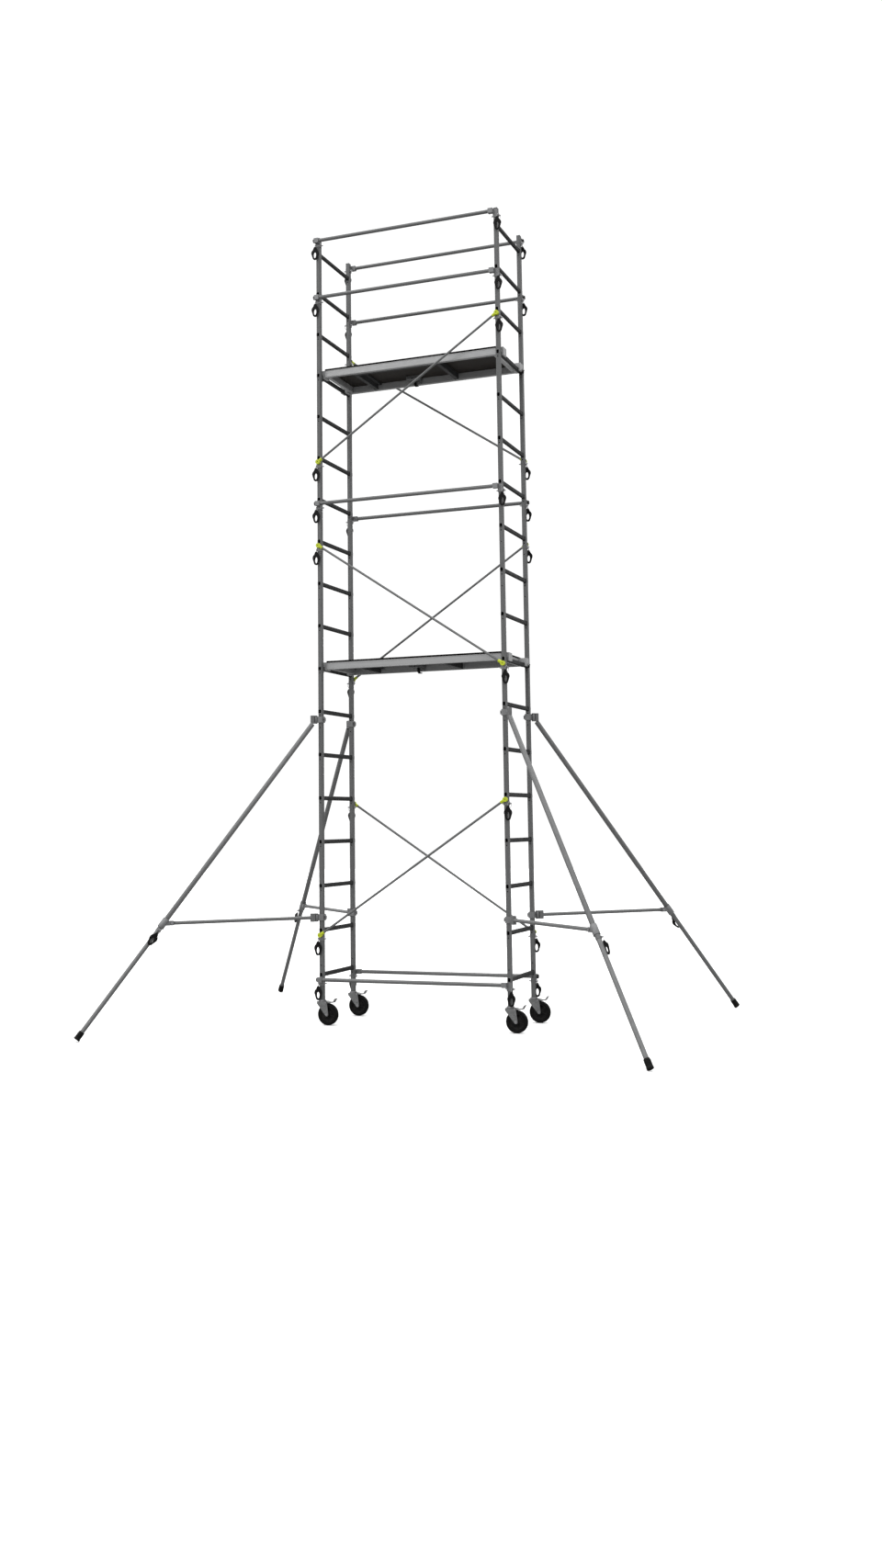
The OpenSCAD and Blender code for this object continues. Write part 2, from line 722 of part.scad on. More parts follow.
module castor_fork(k) {
  color(aluminium) at_castor(k) {
    difference() {
      union() {
        block([crown_x0, -cheek_y - fork_t, crown_top - crown_t],
              [crown_x1 - 10, cheek_y + fork_t, crown_top]);
        for (m = [0, 1]) mirror([0, m, 0]) translate([0, cheek_y + fork_t, 0]) rotate([90, 0, 0])
          linear_extrude(height = fork_t) fork_leg_outline();
      }
      z_cyl(crown_top - crown_t - 1, crown_top + 1, kingpin_r + run);
      y_cyl(-wheel_w, wheel_w, axle_d / 2 + seat, trail, wheel_r);
      y_cyl(-wheel_w, wheel_w, pedal_pin_r + seat, pedal_axis[0], pedal_axis[1]);
    }
    // Axle bolt and pedal pin, each with a head at both ends
    for (bolt = [[trail, wheel_r, axle_d / 2, 8.5], [pedal_axis[0], pedal_axis[1], pedal_pin_r, 5]]) union() {
      y_cyl(-cheek_y - fork_t - seat, cheek_y + fork_t + seat, bolt[2], bolt[0], bolt[1]);
      for (m = [0, 1]) mirror([0, m, 0])
        y_cyl(cheek_y + fork_t + seat, cheek_y + fork_t + 4, bolt[3], bolt[0], bolt[1]);
    }
  }
}

rim_r = wheel_r - 17;
tread_round = 9;

// Half section of the tyre, radius along X and width along Y
module tyre_profile() {
  polygon(concat([[rim_r + seat, -wheel_w / 2 + 3]],
    arc([wheel_r - tread_round, -wheel_w / 2 + tread_round], tread_round, 270, 360, 8),
    arc([wheel_r - tread_round, wheel_w / 2 - tread_round], tread_round, 0, 90, 8),
    [[rim_r + seat, wheel_w / 2 - 3]]));
}

// Hub and web in one moulding, with a raised boss and rim
module hub_profile() {
  bore = axle_d / 2 + run;
  boss = axle_d / 2 + 9;
  hw = wheel_w / 2;
  side = [[bore, hw + 2], [boss, hw + 2], [boss + 2, 7],
          [rim_r - 7, 7], [rim_r - 5, hw - 3], [rim_r, hw - 3]];
  polygon(concat(side, [for (i = [len(side) - 1:-1:0]) [side[i][0], -side[i][1]]]));
}

module castor_wheel(k) {
  at_castor(k) translate([trail, 0, wheel_r]) rotate([90, 0, 0]) {
    color(black_plastic) rotate_extrude($fn = 96) tyre_profile();
    color(deck_black) rotate_extrude($fn = 96) hub_profile();
  }
}

// Foot pedal of the wheel brake: it swings down about its pin until the shoe meets the tyre
module brake_pedal(k) {
  hy = cheek_y - 1;
  px = pedal_axis[0];
  pz = pedal_axis[1];
  shoe_x = trail + 6;
  color(aluminium) at_castor(k) difference() {
    union() {
      translate([0, hy, 0]) rotate([90, 0, 0]) linear_extrude(height = 2 * hy) polygon([
        [px - 6, pz - 4], [px + 20, pz - 4], [px + 48, pz - 1], [px + 62, pz + 23], [px + 58, pz + 25],
        [px + 45, pz + 4], [px + 20, pz + 2], [px + 4, pz + 6], [px - 6, pz + 4]]);
      block([shoe_x, -hy + 4, wheel_d + 3.5], [shoe_x + 16, hy - 4, pz - 2]);
    }
    y_cyl(-wheel_w, wheel_w, pedal_pin_r + run, px, pz);
  }
}

// ---------------------------------------------------------------- stabilisers

pivot = 26;                         // pivot axis from the stile's centre, in X and in Y
pivot_r = 5;
boss_half = 20;
yoke_t = 6;
leg_wall = 2;
boot_length = 55;
collar_length = 64;
TURNS = [225, 315, 135, 45];        // heading of each stabiliser, in the order of CASTORS

// The foot's lower edge stands on the floor, so the lean and that edge's height depend on each other
function lean(n) = n == 0 ? atan2(reach, upper_clamp_z)
                          : atan2(reach, upper_clamp_z - boot_r * sin(lean(n - 1)));
leg_lean = lean(4);
leg_length = (upper_clamp_z - boot_r * sin(leg_lean)) / cos(leg_lean);
strut_s = (upper_clamp_z - lower_clamp_z) / cos(leg_lean);
strut_r = (upper_clamp_z - lower_clamp_z) * tan(leg_lean);
outer_end = strut_s + 60;
inner_r = leg_d / 2 - leg_wall - run;
ear_r = strut_r - 50;

module stabiliser_clamps() {
  hx = stile_x / 2;
  hy = stile_y / 2;
  jaw = 6;
  color(pale_aluminium) at_corners() for (z = [lower_clamp_z, upper_clamp_z]) translate([0, 0, z])
  difference() {
    union() {
      block([-hx - jaw, -hy - jaw, -boss_half], [hx + jaw, hy + jaw, boss_half]);
      z_cyl(-boss_half, boss_half, pivot_r + 5.5, pivot, pivot);
      // Pinch lugs on the inner side
      block([-hx - jaw - 12, -8, -12], [-hx - jaw, 8, 12]);
    }
    block([-hx - seat, -hy - seat, -boss_half - 1], [hx + seat, hy + seat, boss_half + 1]);
    block([-hx - jaw - 13, -1, -boss_half - 1], [-hx, 1, boss_half + 1]);
    z_cyl(-boss_half - 1, boss_half + 1, pivot_r + run, pivot, pivot);
    y_cyl(-9, 9, 3.2, x = -hx - jaw - 6);
  }
}

// Stabiliser frame: the pivot is the Z axis and the leg leans out along +X
module at_stabiliser(k) {
  translate([CASTORS[k][1] * (half_l + pivot), CASTORS[k][2] * (half_w + pivot), 0])
    rotate([0, 0, TURNS[k]]) children();
}

module along_leg(s) {
  translate([0, 0, upper_clamp_z]) rotate([0, 180 - leg_lean, 0]) translate([0, 0, s]) children();
}

// Two cheeks and a pin that hold a clamp's boss, cast in one with the socket behind them
module yoke(x_back) {
  for (m = [0, 1]) mirror([0, 0, m]) {
    block([0, -11, boss_half + lift], [x_back, 11, boss_half + lift + yoke_t]);
    z_cyl(boss_half + lift, boss_half + lift + yoke_t, 11);
  }
  z_cyl(-boss_half - lift - 1, boss_half + lift + 1, pivot_r);
  block([pivot_r + 8, -11, -boss_half - lift - yoke_t], [x_back, 11, boss_half + lift + yoke_t]);
}

module leg_tube() {
  difference() {
    union() {
      along_leg(38) cylinder(h = outer_end - 38, r = leg_d / 2, $fn = 48);
      translate([0, 0, upper_clamp_z]) yoke(34);
    }
    along_leg(60) cylinder(h = outer_end, r = leg_d / 2 - leg_wall, $fn = 48);
    // Seat of the locking plunger
    along_leg(strut_s + 45) y_cyl(0, leg_d, pin_d / 2 + seat);
  }
}

module strut() {
  translate([0, 0, lower_clamp_z]) difference() {
    union() {
      yoke(40);
      x_cyl(36, ear_r - 20, strut_d / 2);
      block([ear_r - 24, -5.5, -11], [ear_r + 10, 5.5, 11]);
    }
    x_cyl(41, ear_r - 25, strut_d / 2 - tube_wall);
    y_cyl(-10, 10, 5 + seat, x = ear_r);
  }
}

module collar() {
  difference() {
    union() {
      along_leg(strut_s - collar_length / 2) cylinder(h = collar_length, r = leg_d / 2 + 5, $fn = 48);
      for (m = [0, 1]) mirror([0, m, 0]) translate([0, 0, lower_clamp_z])
        block([ear_r - 12, 5.5 + seat, -14], [strut_r, 11, 14]);
    }
    along_leg(strut_s - 80) cylinder(h = 160, r = leg_d / 2 + seat, $fn = 48);
    translate([0, 0, lower_clamp_z]) y_cyl(-20, 20, 5 + seat, x = ear_r);
    translate([0, 0, lower_clamp_z]) block([ear_r - 13, -5.5 - seat, -15], [ear_r + 16, 5.5 + seat, 15]);
  }
}

module strut_bolt() {
  translate([0, 0, lower_clamp_z]) union() {
    y_cyl(-11 - seat, 11 + seat, 5, x = ear_r);
    for (m = [0, 1]) mirror([0, m, 0]) y_cyl(11 + seat, 16, 8, x = ear_r);
  }
}

// Plunger below the collar: its tip stops just short of the inner tube
plunger_s = strut_s + 45;
plunger_tip = leg_d / 2 - leg_wall - run + lift;
plunger_head = leg_d / 2 + 2;
plunger_eye = plunger_head + 9;
plunger_ring_r = 14;

module plunger() {
  difference() {
    union() {
      y_cyl(plunger_tip, plunger_eye, pin_d / 2);
      y_cyl(plunger_head, plunger_head + 4, 8);
      y_cyl(plunger_head, plunger_eye + 4.5, 4.5);
    }
    plunger_ring(wire_r + wire_gap);
  }
}

// The plunger's ring and loop lie flat along the leg
module plunger_ring(r) {
  translate([0, plunger_eye, plunger_ring_r]) ring(plunger_ring_r, r);
}

module plunger_loop() {
  difference() {
    translate([0, plunger_eye, 2 * plunger_ring_r]) rotate([0, 180, 0]) pull_loop();
    plunger_ring(wire_r + wire_gap);
  }
}

module stabiliser_leg(k) {
  at_stabiliser(k) {
    color(aluminium) leg_tube();
    color(aluminium) strut();
    color(pale_aluminium) collar();
    color(steel) strut_bolt();
    color(steel) along_leg(plunger_s) plunger();
    color(steel) along_leg(plunger_s) plunger_ring(wire_r);
    color(black_plastic) along_leg(plunger_s) plunger_loop();
  }
}

module stabiliser_foot(k) {
  tube_end = leg_length - 14;
  at_stabiliser(k) {
    color(aluminium) along_leg(outer_end - leg_overlap) difference() {
      cylinder(h = tube_end - outer_end + leg_overlap, r = inner_r, $fn = 48);
      translate([0, 0, -1]) cylinder(h = leg_length, r = inner_r - leg_wall, $fn = 48);
      // Cross hole for the shipping pin above the foot
      translate([0, 0, tube_end - outer_end + leg_overlap - 110]) y_cyl(-leg_d, leg_d, pin_d / 2);
    }
    color(black_plastic) along_leg(leg_length - boot_length) difference() {
      union() {
        cylinder(h = boot_length - 12, r = boot_r - 2, $fn = 48);
        translate([0, 0, boot_length - 12]) cylinder(h = 12, r = boot_r, $fn = 48);
      }
      translate([0, 0, -1]) cylinder(h = boot_length - 13 + seat, r = inner_r + seat, $fn = 48);
    }
  }
}

// ---------------------------------------------------------------- nodes

SECTIONS = ["base", "lower", "upper", "top"];
for (s = [0:3]) {
  stiles(LEFT, s);
  stiles(RIGHT, s);
}
rungs(LEFT);  // left_rungs
rungs(RIGHT);  // right_rungs
joint_spigots();
joint_bolts();
RAILS = ["base", "middle", "knee", "top"];
for (level = [0:3]) rails(level);
rail_brackets();
rail_end_caps();
BRACES = ["base", "middle", "top"];
for (b = [0:2]) braces(b);
brace_clips();
locking_pins();
pin_loops();
PLATFORMS = ["lower", "upper"];
for (p = [0, 1]) {
  platform_frame(p);
  deck(p);
  hatch(p);
  hatch_latch(p);
  uplift_lever(p, 180);
  uplift_lever(p, 0);
}
platform_hooks();
hatch_hinges();
castor_stems();
stabiliser_clamps();
for (k = [0:3]) {
  place = CASTORS[k][0];
  castor_fork(k);
  castor_wheel(k);
  brake_pedal(k);
  stabiliser_leg(k);
  stabiliser_foot(k);
}
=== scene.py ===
"""Looks of the rolling scaffold tower: finishes, fine shapes, light and camera around the CAD frame.
Metres; the origin is on the floor under the tower, X along it, Y to the rear, Z up."""

import json
import math

import bmesh
import bpy
from mathutils import Matrix, Vector


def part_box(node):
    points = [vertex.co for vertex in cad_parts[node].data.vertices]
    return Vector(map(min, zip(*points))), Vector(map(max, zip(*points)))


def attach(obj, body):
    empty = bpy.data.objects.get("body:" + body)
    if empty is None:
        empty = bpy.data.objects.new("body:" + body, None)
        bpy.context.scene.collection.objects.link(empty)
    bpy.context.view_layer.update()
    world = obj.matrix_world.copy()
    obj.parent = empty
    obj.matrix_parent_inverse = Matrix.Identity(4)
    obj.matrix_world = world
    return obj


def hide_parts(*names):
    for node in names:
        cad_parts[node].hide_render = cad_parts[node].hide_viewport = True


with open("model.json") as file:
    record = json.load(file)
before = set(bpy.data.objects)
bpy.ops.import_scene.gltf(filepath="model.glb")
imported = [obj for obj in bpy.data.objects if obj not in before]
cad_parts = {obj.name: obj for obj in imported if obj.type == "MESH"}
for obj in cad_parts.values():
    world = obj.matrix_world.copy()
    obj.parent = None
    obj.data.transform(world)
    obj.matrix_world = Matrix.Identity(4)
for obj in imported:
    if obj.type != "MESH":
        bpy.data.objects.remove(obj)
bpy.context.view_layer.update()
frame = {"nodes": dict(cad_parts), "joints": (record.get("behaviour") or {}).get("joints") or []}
nodes = frame["nodes"]

MM = 0.001
CORNERS = ("front_left", "front_right", "rear_left", "rear_right")
LEVELS = ("lower", "upper")


# ------------------------------------------------------------------ node trees


def add(tree, kind, settings=None, **inputs):
    """A new node. Inputs are named by their sockets, with _ for a space: a socket is linked, a value is set."""
    made = tree.nodes.new(kind)
    for name, value in (settings or {}).items():
        setattr(made, name, value)
    for name, value in inputs.items():
        numbered = name[0] == "i" and name[1:].isdigit()
        socket = made.inputs[int(name[1:]) if numbered else name.replace("_", " ")]
        if isinstance(value, bpy.types.NodeSocket):
            tree.links.new(value, socket)
        else:
            socket.default_value = value
    return made


def math_node(tree, operation, a, b=0.0, clamp=False):
    """A maths operation on one or two values."""
    return add(tree, "ShaderNodeMath", {"operation": operation, "use_clamp": clamp}, i0=a, i1=b).outputs[0]


def remap(tree, value, low, high, to_low=0.0, to_high=1.0):
    """Value stretched from low..high to to_low..to_high, and held at those ends."""
    made = add(tree, "ShaderNodeMapRange", None, Value=value)
    for name, number in zip(("From Min", "From Max", "To Min", "To Max"), (low, high, to_low, to_high)):
        socket = made.inputs[name]
        if isinstance(number, bpy.types.NodeSocket):
            tree.links.new(number, socket)
        else:
            socket.default_value = number
    return made.outputs["Result"]


def blend_colour(tree, factor, a, b):
    """A colour between a and b, as far as factor says."""
    made = add(tree, "ShaderNodeMix", {"data_type": "RGBA", "clamp_factor": True})
    for index, value in ((0, factor), (6, a), (7, b)):
        socket = made.inputs[index]
        if isinstance(value, bpy.types.NodeSocket):
            tree.links.new(value, socket)
        elif index == 0:
            socket.default_value = value
        else:
            socket.default_value = (*value, 1.0)
    return made.outputs[2]


def stretched(tree, vector, scale):
    """A vector scaled by a different amount along each axis."""
    return add(tree, "ShaderNodeVectorMath", {"operation": "MULTIPLY"}, i0=vector, i1=scale).outputs[0]


def noise(tree, vector, scale, detail=3.0, roughness=0.55):
    """Cloudy noise, about 0.5 on average."""
    return add(tree, "ShaderNodeTexNoise", None, Vector=vector, Scale=scale, Detail=detail,
               Roughness=roughness).outputs["Fac"]


def new_group(name, inputs, outputs):
    """An empty shader group with its sockets: inputs are (name, type, default), outputs (name, type)."""
    group = bpy.data.node_groups.new(name, "ShaderNodeTree")
    for label, kind, default in inputs:
        socket = group.interface.new_socket(label, in_out="INPUT", socket_type=kind)
        if default is not None:
            socket.default_value = default
    for label, kind in outputs:
        group.interface.new_socket(label, in_out="OUTPUT", socket_type=kind)
    return group, group.nodes.new("NodeGroupInput"), group.nodes.new("NodeGroupOutput")


FLOAT, VECTOR = "NodeSocketFloat", "NodeSocketVector"


def make_die_lines():
    """Fine lines that an extrusion die leaves along a tube. Along is 1 across the lines and near 0 along them."""
    group, given, out = new_group(
        "die_lines", [("Vector", VECTOR, None), ("Along", VECTOR, (1, 1, 0.01)), ("Scale", FLOAT, 700.0)],
        [("Lines", FLOAT), ("Bands", FLOAT)])
    way = stretched(group, given.outputs["Vector"], given.outputs["Along"])
    fine = noise(group, way, given.outputs["Scale"], 2.0)
    broad = noise(group, way, math_node(group, "MULTIPLY", given.outputs["Scale"], 0.14), 2.0)
    group.links.new(remap(group, fine, 0.3, 0.7), out.inputs["Lines"])
    group.links.new(remap(group, broad, 0.3, 0.7), out.inputs["Bands"])
    return group


def make_edge_wear():
    """Rubbed edges: 1 where the surface turns within Radius, broken up by noise."""
    group, given, out = new_group(
        "edge_wear", [("Vector", VECTOR, None), ("Radius", FLOAT, 0.002), ("Breakup", FLOAT, 60.0)],
        [("Wear", FLOAT)])
    rounded = add(group, "ShaderNodeBevel", {"samples": 4}, Radius=given.outputs["Radius"]).outputs[0]
    flat = add(group, "ShaderNodeNewGeometry").outputs["Normal"]
    facing = add(group, "ShaderNodeVectorMath", {"operation": "DOT_PRODUCT"}, i0=rounded, i1=flat).outputs["Value"]
    edge = remap(group, facing, 0.995, 0.86)
    patches = remap(group, noise(group, given.outputs["Vector"], given.outputs["Breakup"], 4.0), 0.38, 0.62)
    group.links.new(math_node(group, "MULTIPLY", edge, patches, clamp=True), out.inputs["Wear"])
    return group


def make_dirt_and_corner_shade():
    """Handling marks, dust and painted shade: soft patches, painted shade in the corners, and more dust close to the
    floor.
    """
    group, given, out = new_group(
        "dirt_and_corner_shade", [("Vector", VECTOR, None), ("Patch Scale", FLOAT, 9.0), ("Floor Reach", FLOAT, 0.5)],
        [("Dirt_and_Shade", FLOAT), ("Smudge", FLOAT)])
    where = given.outputs["Vector"]
    patches = remap(group, noise(group, where, given.outputs["Patch Scale"], 5.0, 0.65), 0.45, 0.75)
    height = add(group, "ShaderNodeSeparateXYZ", None, Vector=where).outputs["Z"]
    low = remap(group, height, given.outputs["Floor Reach"], 0.0, 0.0, 0.7)
    # Ambient occlusion, turned into darkness in corners and creases, is painted shade.
    hollow = add(group, "ShaderNodeAmbientOcclusion", {"samples": 4}, Distance=0.012).outputs["AO"]
    corners = remap(group, hollow, 0.75, 0.3, 0.0, 0.8)
    # This output joins the painted corner shade with the dust patches near the floor.
    dirt_and_shade = math_node(group, "MAXIMUM", corners, math_node(group, "MULTIPLY", low, patches))
    smudge = remap(group, noise(group, where, 34.0, 4.0, 0.6), 0.35, 0.7)
    group.links.new(dirt_and_shade, out.inputs["Dirt_and_Shade"])
    group.links.new(smudge, out.inputs["Smudge"])
    return group


def make_fine_grain():
    """Even small-scale roughness of a moulding, a casting or rubber, as a height."""
    group, given, out = new_group(
        "fine_grain", [("Vector", VECTOR, None), ("Scale", FLOAT, 900.0)], [("Grain", FLOAT), ("Mottle", FLOAT)])
    cells = add(group, "ShaderNodeTexVoronoi", {"feature": "SMOOTH_F1"}, Vector=given.outputs["Vector"],
                Scale=given.outputs["Scale"]).outputs["Distance"]
    soft = noise(group, given.outputs["Vector"], math_node(group, "MULTIPLY", given.outputs["Scale"], 0.5), 3.0)
    group.links.new(math_node(group, "ADD", cells, soft), out.inputs["Grain"])
    group.links.new(remap(group, noise(group, given.outputs["Vector"], 45.0, 4.0), 0.3, 0.7), out.inputs["Mottle"])
    return group


DIE_LINES = make_die_lines()
EDGE_WEAR = make_edge_wear()
DIRT_AND_CORNER_SHADE = make_dirt_and_corner_shade()
FINE_GRAIN = make_fine_grain()


def use(tree, group, **inputs):
    """Places a shared effect in a material and gives its outputs."""
    return add(tree, "ShaderNodeGroup", {"node_tree": group}, **inputs).outputs


def new_material(name):
    """A material with its Principled shader and the object's own coordinates."""
    material = bpy.data.materials.new(name)
    material.use_nodes = True
    tree = material.node_tree
    shader = tree.nodes["Principled BSDF"]
    where = tree.nodes.new("ShaderNodeTexCoord").outputs["Object"]
    return material, tree, shader, where


def set_shader(tree, shader, colour=None, roughness=None, normal=None, **constants):
    """Links what varies over the surface and sets what is the same all over it."""
    for socket, value in (("Base Color", colour), ("Roughness", roughness), ("Normal", normal)):
        if value is not None:
            tree.links.new(value, shader.inputs[socket])
    for name, value in constants.items():
        shader.inputs[name.replace("_", " ")].default_value = value


def bump(tree, height, strength, distance):
    return add(tree, "ShaderNodeBump", None, Height=height, Strength=strength, Distance=distance).outputs[0]


# ------------------------------------------------------------------ finishes

ALONG = {"x": (0.012, 1.0, 1.0), "y": (1.0, 0.012, 1.0), "z": (1.0, 1.0, 0.012)}


def extruded_aluminium(name, colour, worn, along="z", roughness=0.42, metallic=0.32, gloss=0.25, line_bump=0.12):
    """Mill-finish tube: die lines, soft bands, rubbed edges, dust near the floor and painted shade in the corners.
    """
    material, tree, shader, where = new_material(name)
    lines = use(tree, DIE_LINES, Vector=where, Along=ALONG[along], Scale=900.0)
    wear = use(tree, EDGE_WEAR, Vector=where, Radius=0.0016, Breakup=55.0)["Wear"]
    dirt_and_shade = use(tree, DIRT_AND_CORNER_SHADE, Vector=where, Patch_Scale=8.0, Floor_Reach=0.45)
    tone = blend_colour(tree, remap(tree, lines["Bands"], 0.0, 1.0, 0.0, 0.5), colour, worn)
    tone = blend_colour(tree, math_node(tree, "MULTIPLY", wear, 0.7), tone, worn)
    # Painted shade in the corners and dust near the floor darken the tube.
    tone = blend_colour(tree, math_node(tree, "MULTIPLY", dirt_and_shade["Dirt_and_Shade"], 0.5), tone, (0.06, 0.055, 0.05))
    rough = math_node(tree, "ADD", remap(tree, lines["Lines"], 0, 1, roughness - 0.06, roughness + 0.06),
                      remap(tree, dirt_and_shade["Smudge"], 0, 1, -0.05, 0.1))
    set_shader(tree, shader, tone, rough, bump(tree, lines["Lines"], line_bump, 0.0004), Metallic=metallic,
               Specular_IOR_Level=gloss)
    return material


def zinc_plate(name, colour):
    """Zinc-plated steel with its faint cloudy spangle."""
    material, tree, shader, where = new_material(name)
    grain = use(tree, FINE_GRAIN, Vector=where, Scale=420.0)
    wear = use(tree, EDGE_WEAR, Vector=where, Radius=0.001, Breakup=120.0)["Wear"]
    dirt_and_shade = use(tree, DIRT_AND_CORNER_SHADE, Vector=where, Patch_Scale=20.0, Floor_Reach=0.3)
    cells = add(tree, "ShaderNodeTexVoronoi", None, Vector=where, Scale=160.0).outputs["Color"]
    spangle = add(tree, "ShaderNodeSeparateColor", None, Color=cells).outputs["Red"]
    tone = blend_colour(tree, spangle, tuple(c * 0.88 for c in colour), tuple(c * 1.12 for c in colour))
    tone = blend_colour(tree, wear, tone, tuple(min(1.0, c * 1.5) for c in colour))
    # Painted shade in the corners and dust near the floor darken the zinc.
    tone = blend_colour(tree, math_node(tree, "MULTIPLY", dirt_and_shade["Dirt_and_Shade"], 0.6), tone, (0.05, 0.04, 0.03))
    rough = remap(tree, grain["Mottle"], 0, 1, 0.25, 0.42)
    set_shader(tree, shader, tone, rough, bump(tree, grain["Grain"], 0.08, 0.0003), Metallic=0.9)
    return material


def moulded_nylon(name, colour, worn, roughness=0.5, gloss=0.35):
    """Injection-moulded plastic with a fine spark-eroded grain and paler rubbed edges."""
    material, tree, shader, where = new_material(name)
    grain = use(tree, FINE_GRAIN, Vector=where, Scale=1500.0)
    wear = use(tree, EDGE_WEAR, Vector=where, Radius=0.0015, Breakup=90.0)["Wear"]
    dirt_and_shade = use(tree, DIRT_AND_CORNER_SHADE, Vector=where, Patch_Scale=25.0, Floor_Reach=0.4)
    tone = blend_colour(tree, math_node(tree, "MULTIPLY", wear, 0.5), colour, worn)
    # Painted shade in the corners and dust near the floor darken the plastic.
    tone = blend_colour(tree, math_node(tree, "MULTIPLY", dirt_and_shade["Dirt_and_Shade"], 0.35), tone, (0.09, 0.08, 0.07))
    rough = remap(tree, grain["Mottle"], 0, 1, roughness - 0.08, roughness + 0.1)
    set_shader(tree, shader, tone, rough, bump(tree, grain["Grain"], 0.15, 0.0002), Metallic=0.0,
               Specular_IOR_Level=gloss)
    return material


def tread_rubber(name, colour):
    """Solid rubber, dulled by floor dust where it rolls."""
    material, tree, shader, where = new_material(name)
    grain = use(tree, FINE_GRAIN, Vector=where, Scale=700.0)
    dirt_and_shade = use(tree, DIRT_AND_CORNER_SHADE, Vector=where, Patch_Scale=30.0, Floor_Reach=0.2)
    dust = math_node(tree, "MULTIPLY", grain["Mottle"], math_node(tree, "MULTIPLY", dirt_and_shade["Smudge"], 0.12))
    tone = blend_colour(tree, dust, colour, (0.06, 0.056, 0.05))
    rough = remap(tree, grain["Mottle"], 0, 1, 0.62, 0.82)
    set_shader(tree, shader, tone, rough, bump(tree, grain["Grain"], 0.25, 0.0004), Metallic=0.0,
               Specular_IOR_Level=0.08)
    return material


MESH_PITCH = 0.006


def film_faced_board(name, colour, mesh_tone, edge_tone):
    """Film-faced plywood: dark phenolic film, pressed with a fine wire-mesh tread, its edges painted black."""
    material, tree, shader, where = new_material(name)
    turned = add(tree, "ShaderNodeMapping", None, Vector=where, Rotation=(0, 0, math.radians(45))).outputs[0]
    wires_per_metre = math.pi / MESH_PITCH
    parts = add(tree, "ShaderNodeSeparateXYZ", None, Vector=turned).outputs
    waves = [math_node(tree, "SINE", math_node(tree, "MULTIPLY", parts[axis], wires_per_metre)) for axis in "XY"]
    wires = [math_node(tree, "ABSOLUTE", wave) for wave in waves]
    tread = remap(tree, math_node(tree, "MINIMUM", *wires), 0.0, 0.45, 1.0, 0.0)
    up = add(tree, "ShaderNodeSeparateXYZ", None,
             Vector=add(tree, "ShaderNodeNewGeometry").outputs["Normal"]).outputs["Z"]
    tread = math_node(tree, "MULTIPLY", tread, remap(tree, up, 0.5, 0.9))
    dirt_and_shade = use(tree, DIRT_AND_CORNER_SHADE, Vector=where, Patch_Scale=6.0, Floor_Reach=0.1)
    wear = use(tree, EDGE_WEAR, Vector=where, Radius=0.002, Breakup=40.0)["Wear"]
    grainy = noise(tree, stretched(tree, where, (0.4, 8.0, 8.0)), 60.0, 4.0)
    tone = blend_colour(tree, remap(tree, grainy, 0.35, 0.7, 0, 0.5), colour, mesh_tone)
    tone = blend_colour(tree, math_node(tree, "MULTIPLY", tread, 0.5), tone, mesh_tone)
    tone = blend_colour(tree, math_node(tree, "MULTIPLY", dirt_and_shade["Smudge"], 0.12), tone, (0.2, 0.18, 0.15))
    level = remap(tree, math_node(tree, "ABSOLUTE", up), 0.3, 0.7)
    tone = blend_colour(tree, level, edge_tone, tone)
    tone = blend_colour(tree, math_node(tree, "MULTIPLY", wear, 0.12), tone, (0.12, 0.1, 0.08))
    rough = remap(tree, dirt_and_shade["Smudge"], 0, 1, 0.42, 0.62)
    set_shader(tree, shader, tone, rough, bump(tree, tread, 0.5, 0.0006), Metallic=0.0, Specular_IOR_Level=0.04)
    return material


TUBE = extruded_aluminium("stile_aluminium", (0.118, 0.12, 0.121), (0.17, 0.172, 0.173), "z", 0.5,
                          metallic=0.2, gloss=0.12)
RAIL = extruded_aluminium("rail_aluminium", (0.125, 0.127, 0.128), (0.205, 0.207, 0.208), "x")
LEG = extruded_aluminium("stabiliser_aluminium", (0.14, 0.142, 0.143), (0.21, 0.212, 0.213), "z")
RUNG = extruded_aluminium("ribbed_rung_aluminium", (0.014, 0.0145, 0.015), (0.04, 0.041, 0.042), "y", 0.55,
                          metallic=0.15, gloss=0.1)
FLARE = extruded_aluminium("flared_rung_end", (0.11, 0.112, 0.113), (0.24, 0.242, 0.243), "y", 0.4)
PLATFORM = extruded_aluminium("platform_aluminium", (0.31, 0.313, 0.315), (0.4, 0.403, 0.405), "x", 0.45)
# Members under the decks take aluminium darkened far below the beams: painted shade under the platforms.
SHADED_UNDERSIDE_ALUMINIUM = extruded_aluminium("underside_aluminium_painted_shade", (0.03, 0.031, 0.032), (0.06, 0.061, 0.062), "y", 0.55,
                                 metallic=0.1, gloss=0.1)
CAST = extruded_aluminium("cast_aluminium", (0.17, 0.172, 0.175), (0.27, 0.272, 0.275), "z", 0.5,
                          metallic=0.4, gloss=0.3, line_bump=0.05)
ZINC = zinc_plate("zinc_plated_steel", (0.34, 0.34, 0.35))
FORK = zinc_plate("pressed_fork_steel", (0.235, 0.238, 0.24))
BLACK = moulded_nylon("black_nylon", (0.004, 0.004, 0.0042), (0.012, 0.012, 0.0125), 0.5, gloss=0.12)
LIME = moulded_nylon("lime_nylon", (0.46, 0.54, 0.02), (0.55, 0.62, 0.1), 0.45)
BOARD = film_faced_board("film_faced_plywood", (0.012, 0.01, 0.009), (0.03, 0.027, 0.025), (0.004, 0.004, 0.004))
RUBBER = tread_rubber("tyre_rubber", (0.0045, 0.0045, 0.0048))
HUB = moulded_nylon("hub_nylon", (0.005, 0.005, 0.0053), (0.016, 0.016, 0.0165), 0.45, gloss=0.12)


# ------------------------------------------------------------------ CAD nodes


